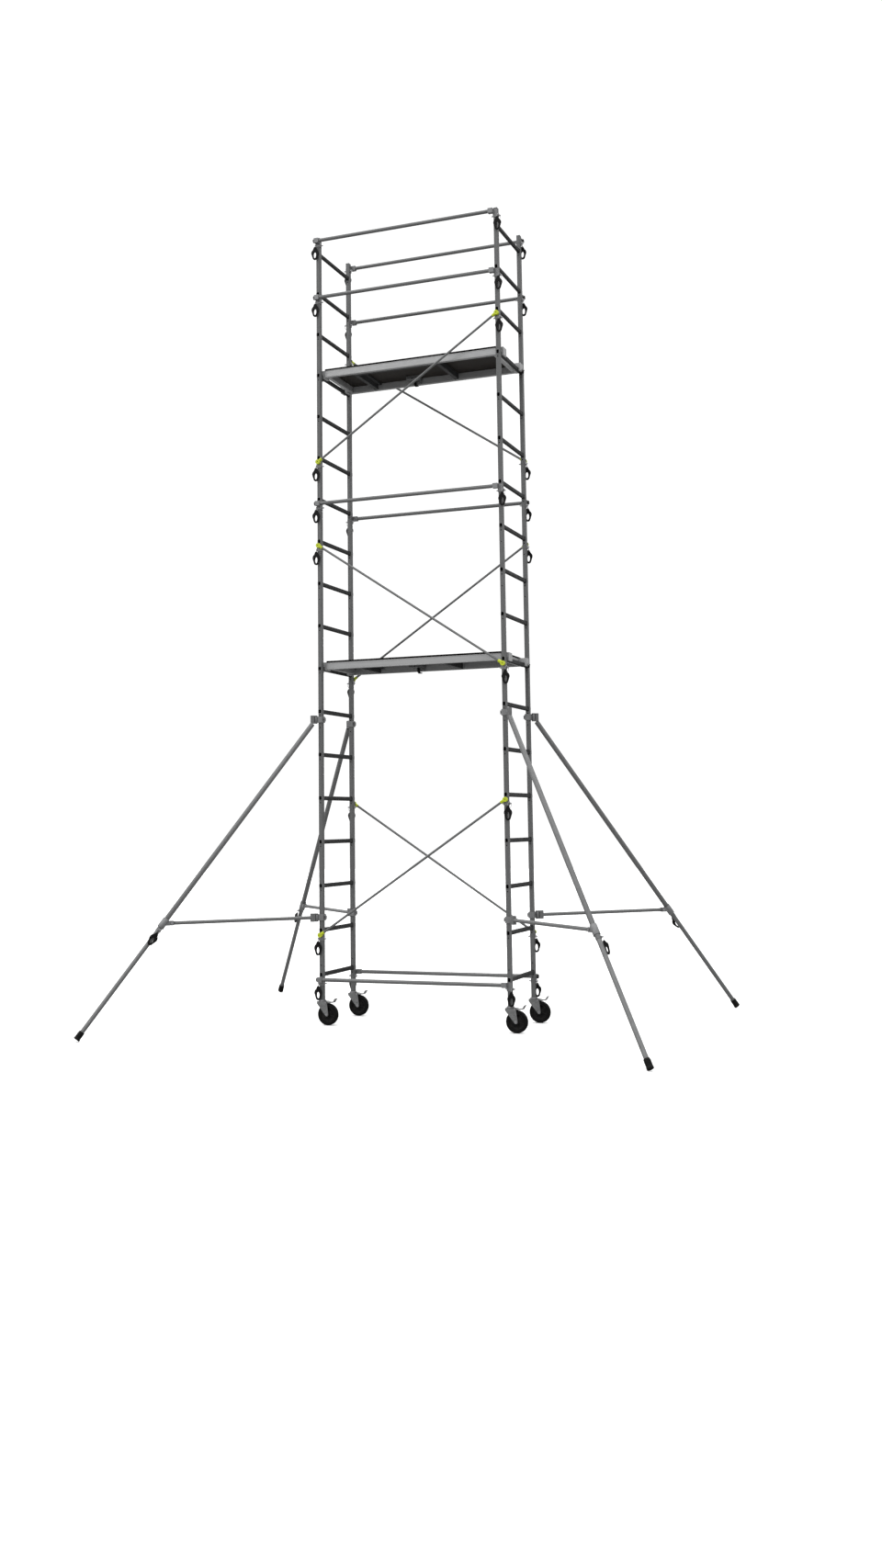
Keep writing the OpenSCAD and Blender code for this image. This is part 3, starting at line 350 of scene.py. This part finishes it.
def islands(obj):
    """The separate solids of a CAD node: (face numbers, lowest corner, highest corner) for each."""
    mesh = obj.data
    place = {}
    first = [place.setdefault(tuple(round(c * 1e5) for c in v.co), v.index) for v in mesh.vertices]
    parent = {}

    def top(i):
        while parent.setdefault(i, i) != i:
            parent[i] = parent[parent[i]]
            i = parent[i]
        return i

    for face in mesh.polygons:
        a = top(first[face.vertices[0]])
        for v in face.vertices[1:]:
            parent[top(first[v])] = a
    groups = {}
    for face in mesh.polygons:
        groups.setdefault(top(first[face.vertices[0]]), []).append(face.index)
    found = []
    for faces in groups.values():
        points = [mesh.vertices[v].co for f in faces for v in mesh.polygons[f].vertices]
        low = Vector([min(p[k] for p in points) for k in range(3)])
        high = Vector([max(p[k] for p in points) for k in range(3)])
        found.append((faces, low, high))
    return sorted(found, key=lambda island: (round(island[1].z, 4), round(island[1].x, 4), round(island[1].y, 4)))


def dress(name, material, edge=0.0, segments=2, extra=()):
    """Gives a CAD node its finish and softened edges. Each extra is (test of a solid's size and centre, material),
    and a solid takes the first one that holds."""
    obj = nodes[name]
    obj.data.materials.clear()
    for finish in (material, *[m for _, m in extra]):
        obj.data.materials.append(finish)
    if extra:
        for faces, low, high in islands(obj):
            for number, (test, _) in enumerate(extra, 1):
                if test(high - low, (low + high) / 2):
                    for face in faces:
                        obj.data.polygons[face].material_index = number
                    break
    if edge:
        soften(obj, edge, segments)


def soften(obj, width, segments):
    """Rounds a node's sharp edges."""
    weld = obj.modifiers.new("weld", "WELD")
    weld.merge_threshold = 1e-5
    bevel = obj.modifiers.new("soft_edges", "BEVEL")
    bevel.width = width
    bevel.segments = segments
    bevel.limit_method = "ANGLE"
    bevel.angle_limit = math.radians(35)
    bevel.use_clamp_overlap = True
    bevel.harden_normals = True


def under(x=10.0, y=10.0, z=10.0):
    """The test that a solid is smaller than this, in metres."""
    return lambda size, centre: size.x < x and size.y < y and size.z < z


def inner_member(size, centre):
    """The test for a platform's members between its two ends and its two side beams."""
    return size.x < 0.7 and abs(centre.x) < 0.55


for section in ("base", "lower", "upper", "top"):
    for side in ("left", "right"):
        dress(f"{side}_{section}_stiles", TUBE)
for side in ("left", "right"):
    dress(f"{side}_rungs", RUNG, 0.8 * MM)
for level in ("base", "middle", "knee", "top"):
    dress(f"{level}_rails", RAIL)
for level in ("base", "middle", "top"):
    dress(f"{level}_braces", RAIL)
dress("joint_spigots", CAST)
dress("joint_bolts", ZINC, 0.6 * MM)
dress("rail_brackets", CAST, 0.9 * MM)
dress("rail_end_caps", BLACK, 1.2 * MM, 3)
dress("brace_clips", LIME, 1.0 * MM, 3)
SADDLE_WALL = 3.3 * MM
saddle_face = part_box("left_base_stiles")[1][1] + SADDLE_WALL
clips = nodes["brace_clips"].data
clips.materials.append(CAST)
for face in clips.polygons:  # the saddle on the stile is cast, the hook that stands on it is nylon
    if abs(face.center.y) < saddle_face:
        face.material_index = 1
dress("locking_pins", ZINC, 0.6 * MM)
dress("pin_loops", BLACK, 1.8 * MM, 3)
for level in LEVELS:
    # The members between a platform's ends are darkened as painted shade under the deck.
    dress(f"{level}_platform_frame", PLATFORM, 1.0 * MM, 2, [(inner_member, SHADED_UNDERSIDE_ALUMINIUM)])
    dress(f"{level}_deck", BOARD, 0.8 * MM)
    # The rim under the hatch board is darkened as painted shade.
    dress(f"{level}_hatch", BOARD, 0.7 * MM, 2,  # hinge leaves, rim under the board, latch housing
          [(under(x=0.12, y=0.06, z=0.0144), ZINC), (under(x=0.52, z=0.0125), SHADED_UNDERSIDE_ALUMINIUM), (under(x=0.1), TUBE)])
    dress(f"{level}_hatch_latch", ZINC, 0.8 * MM, 2, [(under(y=0.03), BLACK)])
    for side in ("front", "rear"):
        dress(f"{level}_{side}_uplift_lever", BLACK, 0.8 * MM)
dress("platform_hooks", PLATFORM, 1.0 * MM)
dress("hatch_hinges", ZINC, 0.5 * MM)
dress("castor_stems", ZINC, 0.8 * MM)
dress("stabiliser_clamps", CAST, 1.2 * MM)
for corner in CORNERS:
    dress(f"castor_fork_{corner}", FORK, 0.8 * MM, 2, [(under(x=0.03), ZINC)])
    dress(f"castor_wheel_{corner}", RUBBER, 0.0, 2, [(under(x=0.12), HUB)])
    dress(f"brake_pedal_{corner}", FORK, 0.8 * MM)
    dress(f"stabiliser_leg_{corner}", LEG, 0.7 * MM, 2,  # bolt, plunger and ring, then pull loop, then collar
          [(under(x=0.05, z=0.035), ZINC), (under(x=0.06), BLACK), (under(x=0.2), CAST)])
    dress(f"stabiliser_foot_{corner}", LEG, 0.0, 2, [(under(z=0.1), BLACK)])


# ------------------------------------------------------------------ pieces made here


def make_piece(name, mesh_builder, materials, body, sharp=40):
    """Turns a bmesh into a piece that rides on a CAD body and takes the given finishes."""
    bmesh.ops.recalc_face_normals(mesh_builder, faces=mesh_builder.faces)
    mesh = bpy.data.meshes.new(name)
    mesh_builder.to_mesh(mesh)
    mesh_builder.free()
    mesh.shade_smooth()
    mesh.set_sharp_from_angle(angle=math.radians(sharp))
    for material in materials:
        mesh.materials.append(material)
    piece = bpy.data.objects.new(name, mesh)
    bpy.context.scene.collection.objects.link(piece)
    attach(piece, body)
    return piece


def skin(builder, rings, material=0, closed=False):
    """Quads between successive rings of points; closed joins the last ring to the first."""
    made = [[builder.verts.new(p) for p in ring] for ring in rings]
    pairs = list(zip(made, made[1:])) + ([(made[-1], made[0])] if closed else [])
    for near, far in pairs:
        for i in range(len(near)):
            j = (i + 1) % len(near)
            face = builder.faces.new((near[i], near[j], far[j], far[i]))
            face.material_index = material


def lathe(builder, profile, centre, axis="Y", segments=96, material=0):
    """Turns a closed profile of (radius, height) about an axis through centre."""
    rings = []
    for i in range(segments):
        turn = 2 * math.pi * i / segments
        c, s = math.cos(turn), math.sin(turn)
        if axis == "Y":
            rings.append([Vector(centre) + Vector((r * c, h, r * s)) for r, h in profile])
        else:
            rings.append([Vector(centre) + Vector((r * c, r * s, h)) for r, h in profile])
    skin(builder, rings, material, closed=True)


def arc(centre, radius, start, end, steps):
    """Points on an arc, in degrees."""
    return [(centre[0] + radius * math.cos(math.radians(start + (end - start) * i / steps)),
             centre[1] + radius * math.sin(math.radians(start + (end - start) * i / steps)))
            for i in range(steps + 1)]


# Rungs: fluted eight-sided tubes whose ends are flared over the stiles

STILE_DEPTH = 35 * MM
RUNG_CHAMFER = 5 * MM
RUNG_FLARE = 2.5 * MM
RUNG_WALL = 1.8 * MM
FLUTE_PITCH = 2.2 * MM
FLUTE_DEPTH = 0.45 * MM


def rung_outline(half_w, half_h, grow, flute):
    """Ring of (x, z) points: a chamfered outline pushed out by grow, with flutes pressed in by flute."""
    w, h, c = half_w + grow, half_h + grow, RUNG_CHAMFER + 0.4 * grow
    corners = [(w, c - h), (w, h - c), (w - c, h), (c - w, h), (-w, h - c), (-w, c - h), (c - w, -h), (w - c, -h)]
    ring = []
    for i, (x0, z0) in enumerate(corners):
        x1, z1 = corners[(i + 1) % 8]
        length = math.hypot(2 * half_w - 2 * RUNG_CHAMFER if i % 4 == 2 else x1 - x0, z1 - z0)
        count = 4 if i % 4 == 2 else 8 if i % 4 == 0 else 3
        out = Vector((z1 - z0, 0, x0 - x1)).normalized()
        for step in range(3 * count):
            t = step / (3 * count)
            depth = flute * (0.5 - 0.5 * math.cos(2 * math.pi * count * t))
            ring.append((x0 + (x1 - x0) * t - out.x * depth, z0 + (z1 - z0) * t - out.z * depth))
    return ring


def add_rung(builder, low, high):
    """A rung in the space of its CAD solid, from low to high."""
    x, z = (low.x + high.x) / 2, (low.z + high.z) / 2
    half_w, half_h = (high.x - low.x) / 2 - RUNG_FLARE, (high.z - low.z) / 2 - RUNG_FLARE
    stile = STILE_DEPTH + RUNG_FLARE
    # (distance from the end, growth, flute) along one half, outside and inside
    outside = [(0.0, 0.3, 0), (0.25, 0.8, 0), (0.8, 1.0, 0), (1.6, 1.0, 0), (2.4, 0.5, 0), (2.5, 0.02, 0)]
    outside = [(d * MM, g * RUNG_FLARE, f) for d, g, f in outside]
    outside += [(stile, 0.02 * RUNG_FLARE, 0), (stile + 0.1 * MM, 0.7 * RUNG_FLARE, 0),
                (stile + 1.0 * MM, RUNG_FLARE, 0), (stile + 1.9 * MM, 0.8 * RUNG_FLARE, 0),
                (stile + 3.5 * MM, 0.2 * RUNG_FLARE, 0), (stile + 5 * MM, 0, 0), (stile + 8 * MM, 0, FLUTE_DEPTH)]
    inside = [(0.2 * MM, -0.4 * MM, 0), (1.5 * MM, -1.4 * MM, 0), (4 * MM, -RUNG_WALL, 0)]
    ends = [(low.y, 1), (high.y, -1)]

    def ring(end, way, point):
        return [Vector((x + px, end + way * point[0], z + pz))
                for px, pz in rung_outline(half_w, half_h, point[1], point[2])]

    first, last = ends
    path = [ring(*first, p) for p in outside] + [ring(*last, p) for p in reversed(outside)]
    path += [ring(*last, p) for p in inside] + [ring(*first, p) for p in reversed(inside)]
    before = len(builder.faces)
    skin(builder, path, closed=True)
    builder.faces.ensure_lookup_table()
    bright = STILE_DEPTH / 2
    for face in builder.faces[before:]:
        end_distance = min(abs(face.calc_center_median().y - end) for end in (low.y, high.y))
        outward = max(abs(corner.co.x - x) - half_w for corner in face.verts) > -1.5 * MM or \
            max(abs(corner.co.z - z) - half_h for corner in face.verts) > -1.5 * MM
        if end_distance < bright and outward:
            face.material_index = 1


for side in ("left", "right"):
    builder = bmesh.new()
    for _, low, high in islands(nodes[f"{side}_rungs"]):
        add_rung(builder, low, high)
    piece = make_piece(f"{side}_fluted_rungs", builder, [RUNG, FLARE], "tower", 50)
    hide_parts(f"{side}_rungs")


# Castor wheels: solid tyre with a grooved tread on a ribbed hub

TYRE_HEIGHT = 17 * MM


def add_tyre(builder, centre, radius, half_width):
    """A solid tyre with round shoulders and two grooves."""
    shoulder = 9 * MM
    tread = half_width - shoulder
    groove = 1.1 * MM
    outline = [(radius - TYRE_HEIGHT, -half_width + 3 * MM), (radius - TYRE_HEIGHT + 4 * MM, -half_width + 0.6 * MM)]
    outline += arc((radius - shoulder, -tread), shoulder, -90, 0, 10)
    for y in (-tread / 2, tread / 2):
        outline += [(radius, y - groove), (radius - groove, y - groove * 0.6),
                    (radius - groove, y + groove * 0.6), (radius, y + groove)]
    outline += arc((radius - shoulder, tread), shoulder, 0, 90, 10)
    outline += [(radius - TYRE_HEIGHT + 4 * MM, half_width - 0.6 * MM), (radius - TYRE_HEIGHT, half_width - 3 * MM)]
    lathe(builder, outline, centre)


def add_hub(builder, centre, radius, half_width):
    """A bored hub: a boss, a thin web with six ribs on each side, and a rim under the tyre."""
    rim = radius - TYRE_HEIGHT - 0.1 * MM
    bore, boss, web = 6.05 * MM, 15 * MM, 6 * MM
    lip = half_width - 3 * MM
    side = [(bore, half_width + 2 * MM), (boss - 2.5 * MM, half_width + 2 * MM), (boss, half_width),
            (boss + 2 * MM, web + 2 * MM), (boss + 5 * MM, web), (rim - 9 * MM, web), (rim - 6 * MM, web + 2 * MM),
            (rim - 5 * MM, lip - 1 * MM), (rim - 4 * MM, lip), (rim - 1 * MM, lip), (rim, lip - 1 * MM)]
    lathe(builder, side + [(r, -h) for r, h in reversed(side)], centre, material=1)
    for way in (-1, 1):
        for i in range(6):
            turn = Matrix.Rotation(math.radians(60 * i + 15), 4, "Y")
            rib = bmesh.ops.create_cube(builder, size=1.0)["verts"]
            length = rim - 5 * MM - boss
            scale = Matrix.Diagonal((length, 5 * MM, 3.4 * MM, 1.0))
            place = Matrix.Translation((boss + length / 2, way * (web + 2 * MM), 0))
            bmesh.ops.transform(builder, matrix=Matrix.Translation(centre) @ turn @ place @ scale, verts=rib)
            edges = list({edge for v in rib for edge in v.link_edges})
            bevelled = bmesh.ops.bevel(builder, geom=edges, offset=0.9 * MM, segments=2, affect="EDGES")
            for face in bevelled["faces"] + list({f for v in bevelled["verts"] for f in v.link_faces}):
                face.material_index = 1


for corner in CORNERS:
    tyre = max(islands(nodes[f"castor_wheel_{corner}"]), key=lambda island: (island[2] - island[1]).x)
    low, high = tyre[1], tyre[2]
    centre, radius, half_width = (low + high) / 2, (high.x - low.x) / 2, (high.y - low.y) / 2
    centre.z = radius
    builder = bmesh.new()
    add_tyre(builder, centre, radius, half_width)
    add_hub(builder, centre, radius, half_width)
    piece = make_piece(f"ribbed_wheel_{corner}", builder, [RUBBER, HUB], f"wheel_{corner}")
    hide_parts(f"castor_wheel_{corner}")


# Rivets that hold each deck board to its beams

RIVET_SIDES = 20
RIVET_PITCH = 150 * MM
RIVET_INSET = 30 * MM
BEAM_MIDDLE = 12.5 * MM


def add_rivet(builder, place, radius=5 * MM, height=1.8 * MM):
    """A domed rivet head, closed underneath."""
    dome = [(radius, -0.5 * MM), (radius, 0.2 * MM)] + [
        (radius * math.cos(math.radians(a)), 0.2 * MM + height * math.sin(math.radians(a))) for a in (25, 50, 72)]
    rings = [[Vector(place) + Vector((r * math.cos(t), r * math.sin(t), h))
              for t in [2 * math.pi * i / RIVET_SIDES for i in range(RIVET_SIDES)]] for r, h in dome]
    skin(builder, rings)
    builder.verts.ensure_lookup_table()
    first = len(builder.verts) - RIVET_SIDES * len(dome)
    builder.faces.new(builder.verts[-RIVET_SIDES:])
    builder.faces.new(builder.verts[first:first + RIVET_SIDES])



for level in LEVELS:
    low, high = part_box(f"{level}_deck")
    run = high.x - low.x - 2 * RIVET_INSET
    count = round(run / RIVET_PITCH)
    builder = bmesh.new()
    for i in range(count + 1):
        for y in (low.y + BEAM_MIDDLE, high.y - BEAM_MIDDLE):
            add_rivet(builder, (low.x + RIVET_INSET + run / count * i, y, high.z))
    make_piece(f"{level}_deck_rivets", builder, [ZINC], "tower")


# Grip rings round each rubber foot

BOOT_RADIUS = 18 * MM
GRIP_RING = 1.6 * MM

for corner in CORNERS:
    joint = next(j for j in frame["joints"] if j["child"] == f"foot_{corner}")
    down = Vector(joint["axis"]).normalized()
    boot = next(island for island in islands(nodes[f"stabiliser_foot_{corner}"])
                if (island[2] - island[1]).z < 0.1)
    middle = (boot[1] + boot[2]) / 2
    turn = Vector((0, 0, 1)).rotation_difference(down).to_matrix().to_4x4()
    builder = bmesh.new()
    for offset in (-18, -10, -2, 6):
        profile = arc((BOOT_RADIUS, offset * MM), GRIP_RING, 0, 330, 11)
        lathe(builder, profile, (0, 0, 0), axis="Z", segments=48)
    bmesh.ops.transform(builder, matrix=Matrix.Translation(middle) @ turn, verts=builder.verts)
    make_piece(f"boot_grip_rings_{corner}", builder, [RUBBER], f"foot_{corner}")


# ------------------------------------------------------------------ light, floor and camera


TOWER_MIDDLE = Vector((0, 0, 2.5))
SOFT_BOX = 7.0
GROUND_SHADE = (0.3, 0.3, 0.3)


def make_floor():
    """A pale floor that gives back little light, so that the undersides of the tubes stay dark."""
    bpy.ops.mesh.primitive_plane_add(size=60, location=(0, 0, -0.0005))
    floor = bpy.context.object
    floor.name = "studio_floor"
    material, tree, shader, where = new_material("pale_floor")
    tone = blend_colour(tree, noise(tree, where, 0.6, 2.0), (0.95, 0.95, 0.95), (0.98, 0.98, 0.98))
    seen = add(tree, "ShaderNodeLightPath").outputs["Is Camera Ray"]
    tone = blend_colour(tree, seen, GROUND_SHADE, tone)
    set_shader(tree, shader, tone, Roughness=0.9, Specular_IOR_Level=0.0)
    floor.data.materials.append(material)


def area_light(name, place, power):
    """A large round soft box, turned towards the tower."""
    light = bpy.data.lights.new(name, "AREA")
    light.shape = "DISK"
    light.size = SOFT_BOX
    light.energy = power
    lamp = bpy.data.objects.new(name, light)
    lamp.location = place
    lamp.rotation_euler = (TOWER_MIDDLE - Vector(place)).to_track_quat("-Z", "Y").to_euler()
    bpy.context.scene.collection.objects.link(lamp)


def make_light():
    """Two soft boxes under a pale dome, brightest overhead and dimmer below and to the right."""
    world = bpy.data.worlds.new("studio")
    world.use_nodes = True
    tree = world.node_tree
    towards = add(tree, "ShaderNodeSeparateXYZ", None,
                  Vector=tree.nodes.new("ShaderNodeTexCoord").outputs["Generated"]).outputs
    dome = blend_colour(tree, remap(tree, towards["Z"], -0.35, 0.1), GROUND_SHADE, (0.95, 0.95, 0.95))
    dome = blend_colour(tree, remap(tree, towards["Z"], 0.25, 0.95), dome, (2.0, 2.0, 2.0))
    dome = blend_colour(tree, remap(tree, towards["X"], 0.2, 0.9, 0, 0.45), dome, GROUND_SHADE)
    seen = add(tree, "ShaderNodeLightPath").outputs["Is Camera Ray"]
    background = tree.nodes["Background"].inputs
    tree.links.new(blend_colour(tree, seen, dome, (1.0, 1.0, 1.0)), background["Color"])
    background["Strength"].default_value = 1.1
    bpy.context.scene.world = world
    area_light("key", (-7, -11, 10), 230)
    area_light("fill", (10, -6, 6), 30)
    bpy.context.scene.view_settings.view_transform = "Standard"


def make_camera():
    """A long-sided frame seen from chest height, off to the right of the tower's front."""
    data = bpy.data.cameras.new("camera")
    data.sensor_fit = "AUTO"
    data.sensor_width = 36
    data.lens = 33.55
    data.shift_x = 0.0141
    data.shift_y = -0.0747
    camera = bpy.data.objects.new("camera", data)
    camera.location = (3.4208, -8.8293, 1.2627)
    camera.rotation_euler = [math.radians(angle) for angle in (96.129, 0.684, 21.455)]
    bpy.context.scene.collection.objects.link(camera)
    bpy.context.scene.camera = camera


make_floor()
make_light()
make_camera()
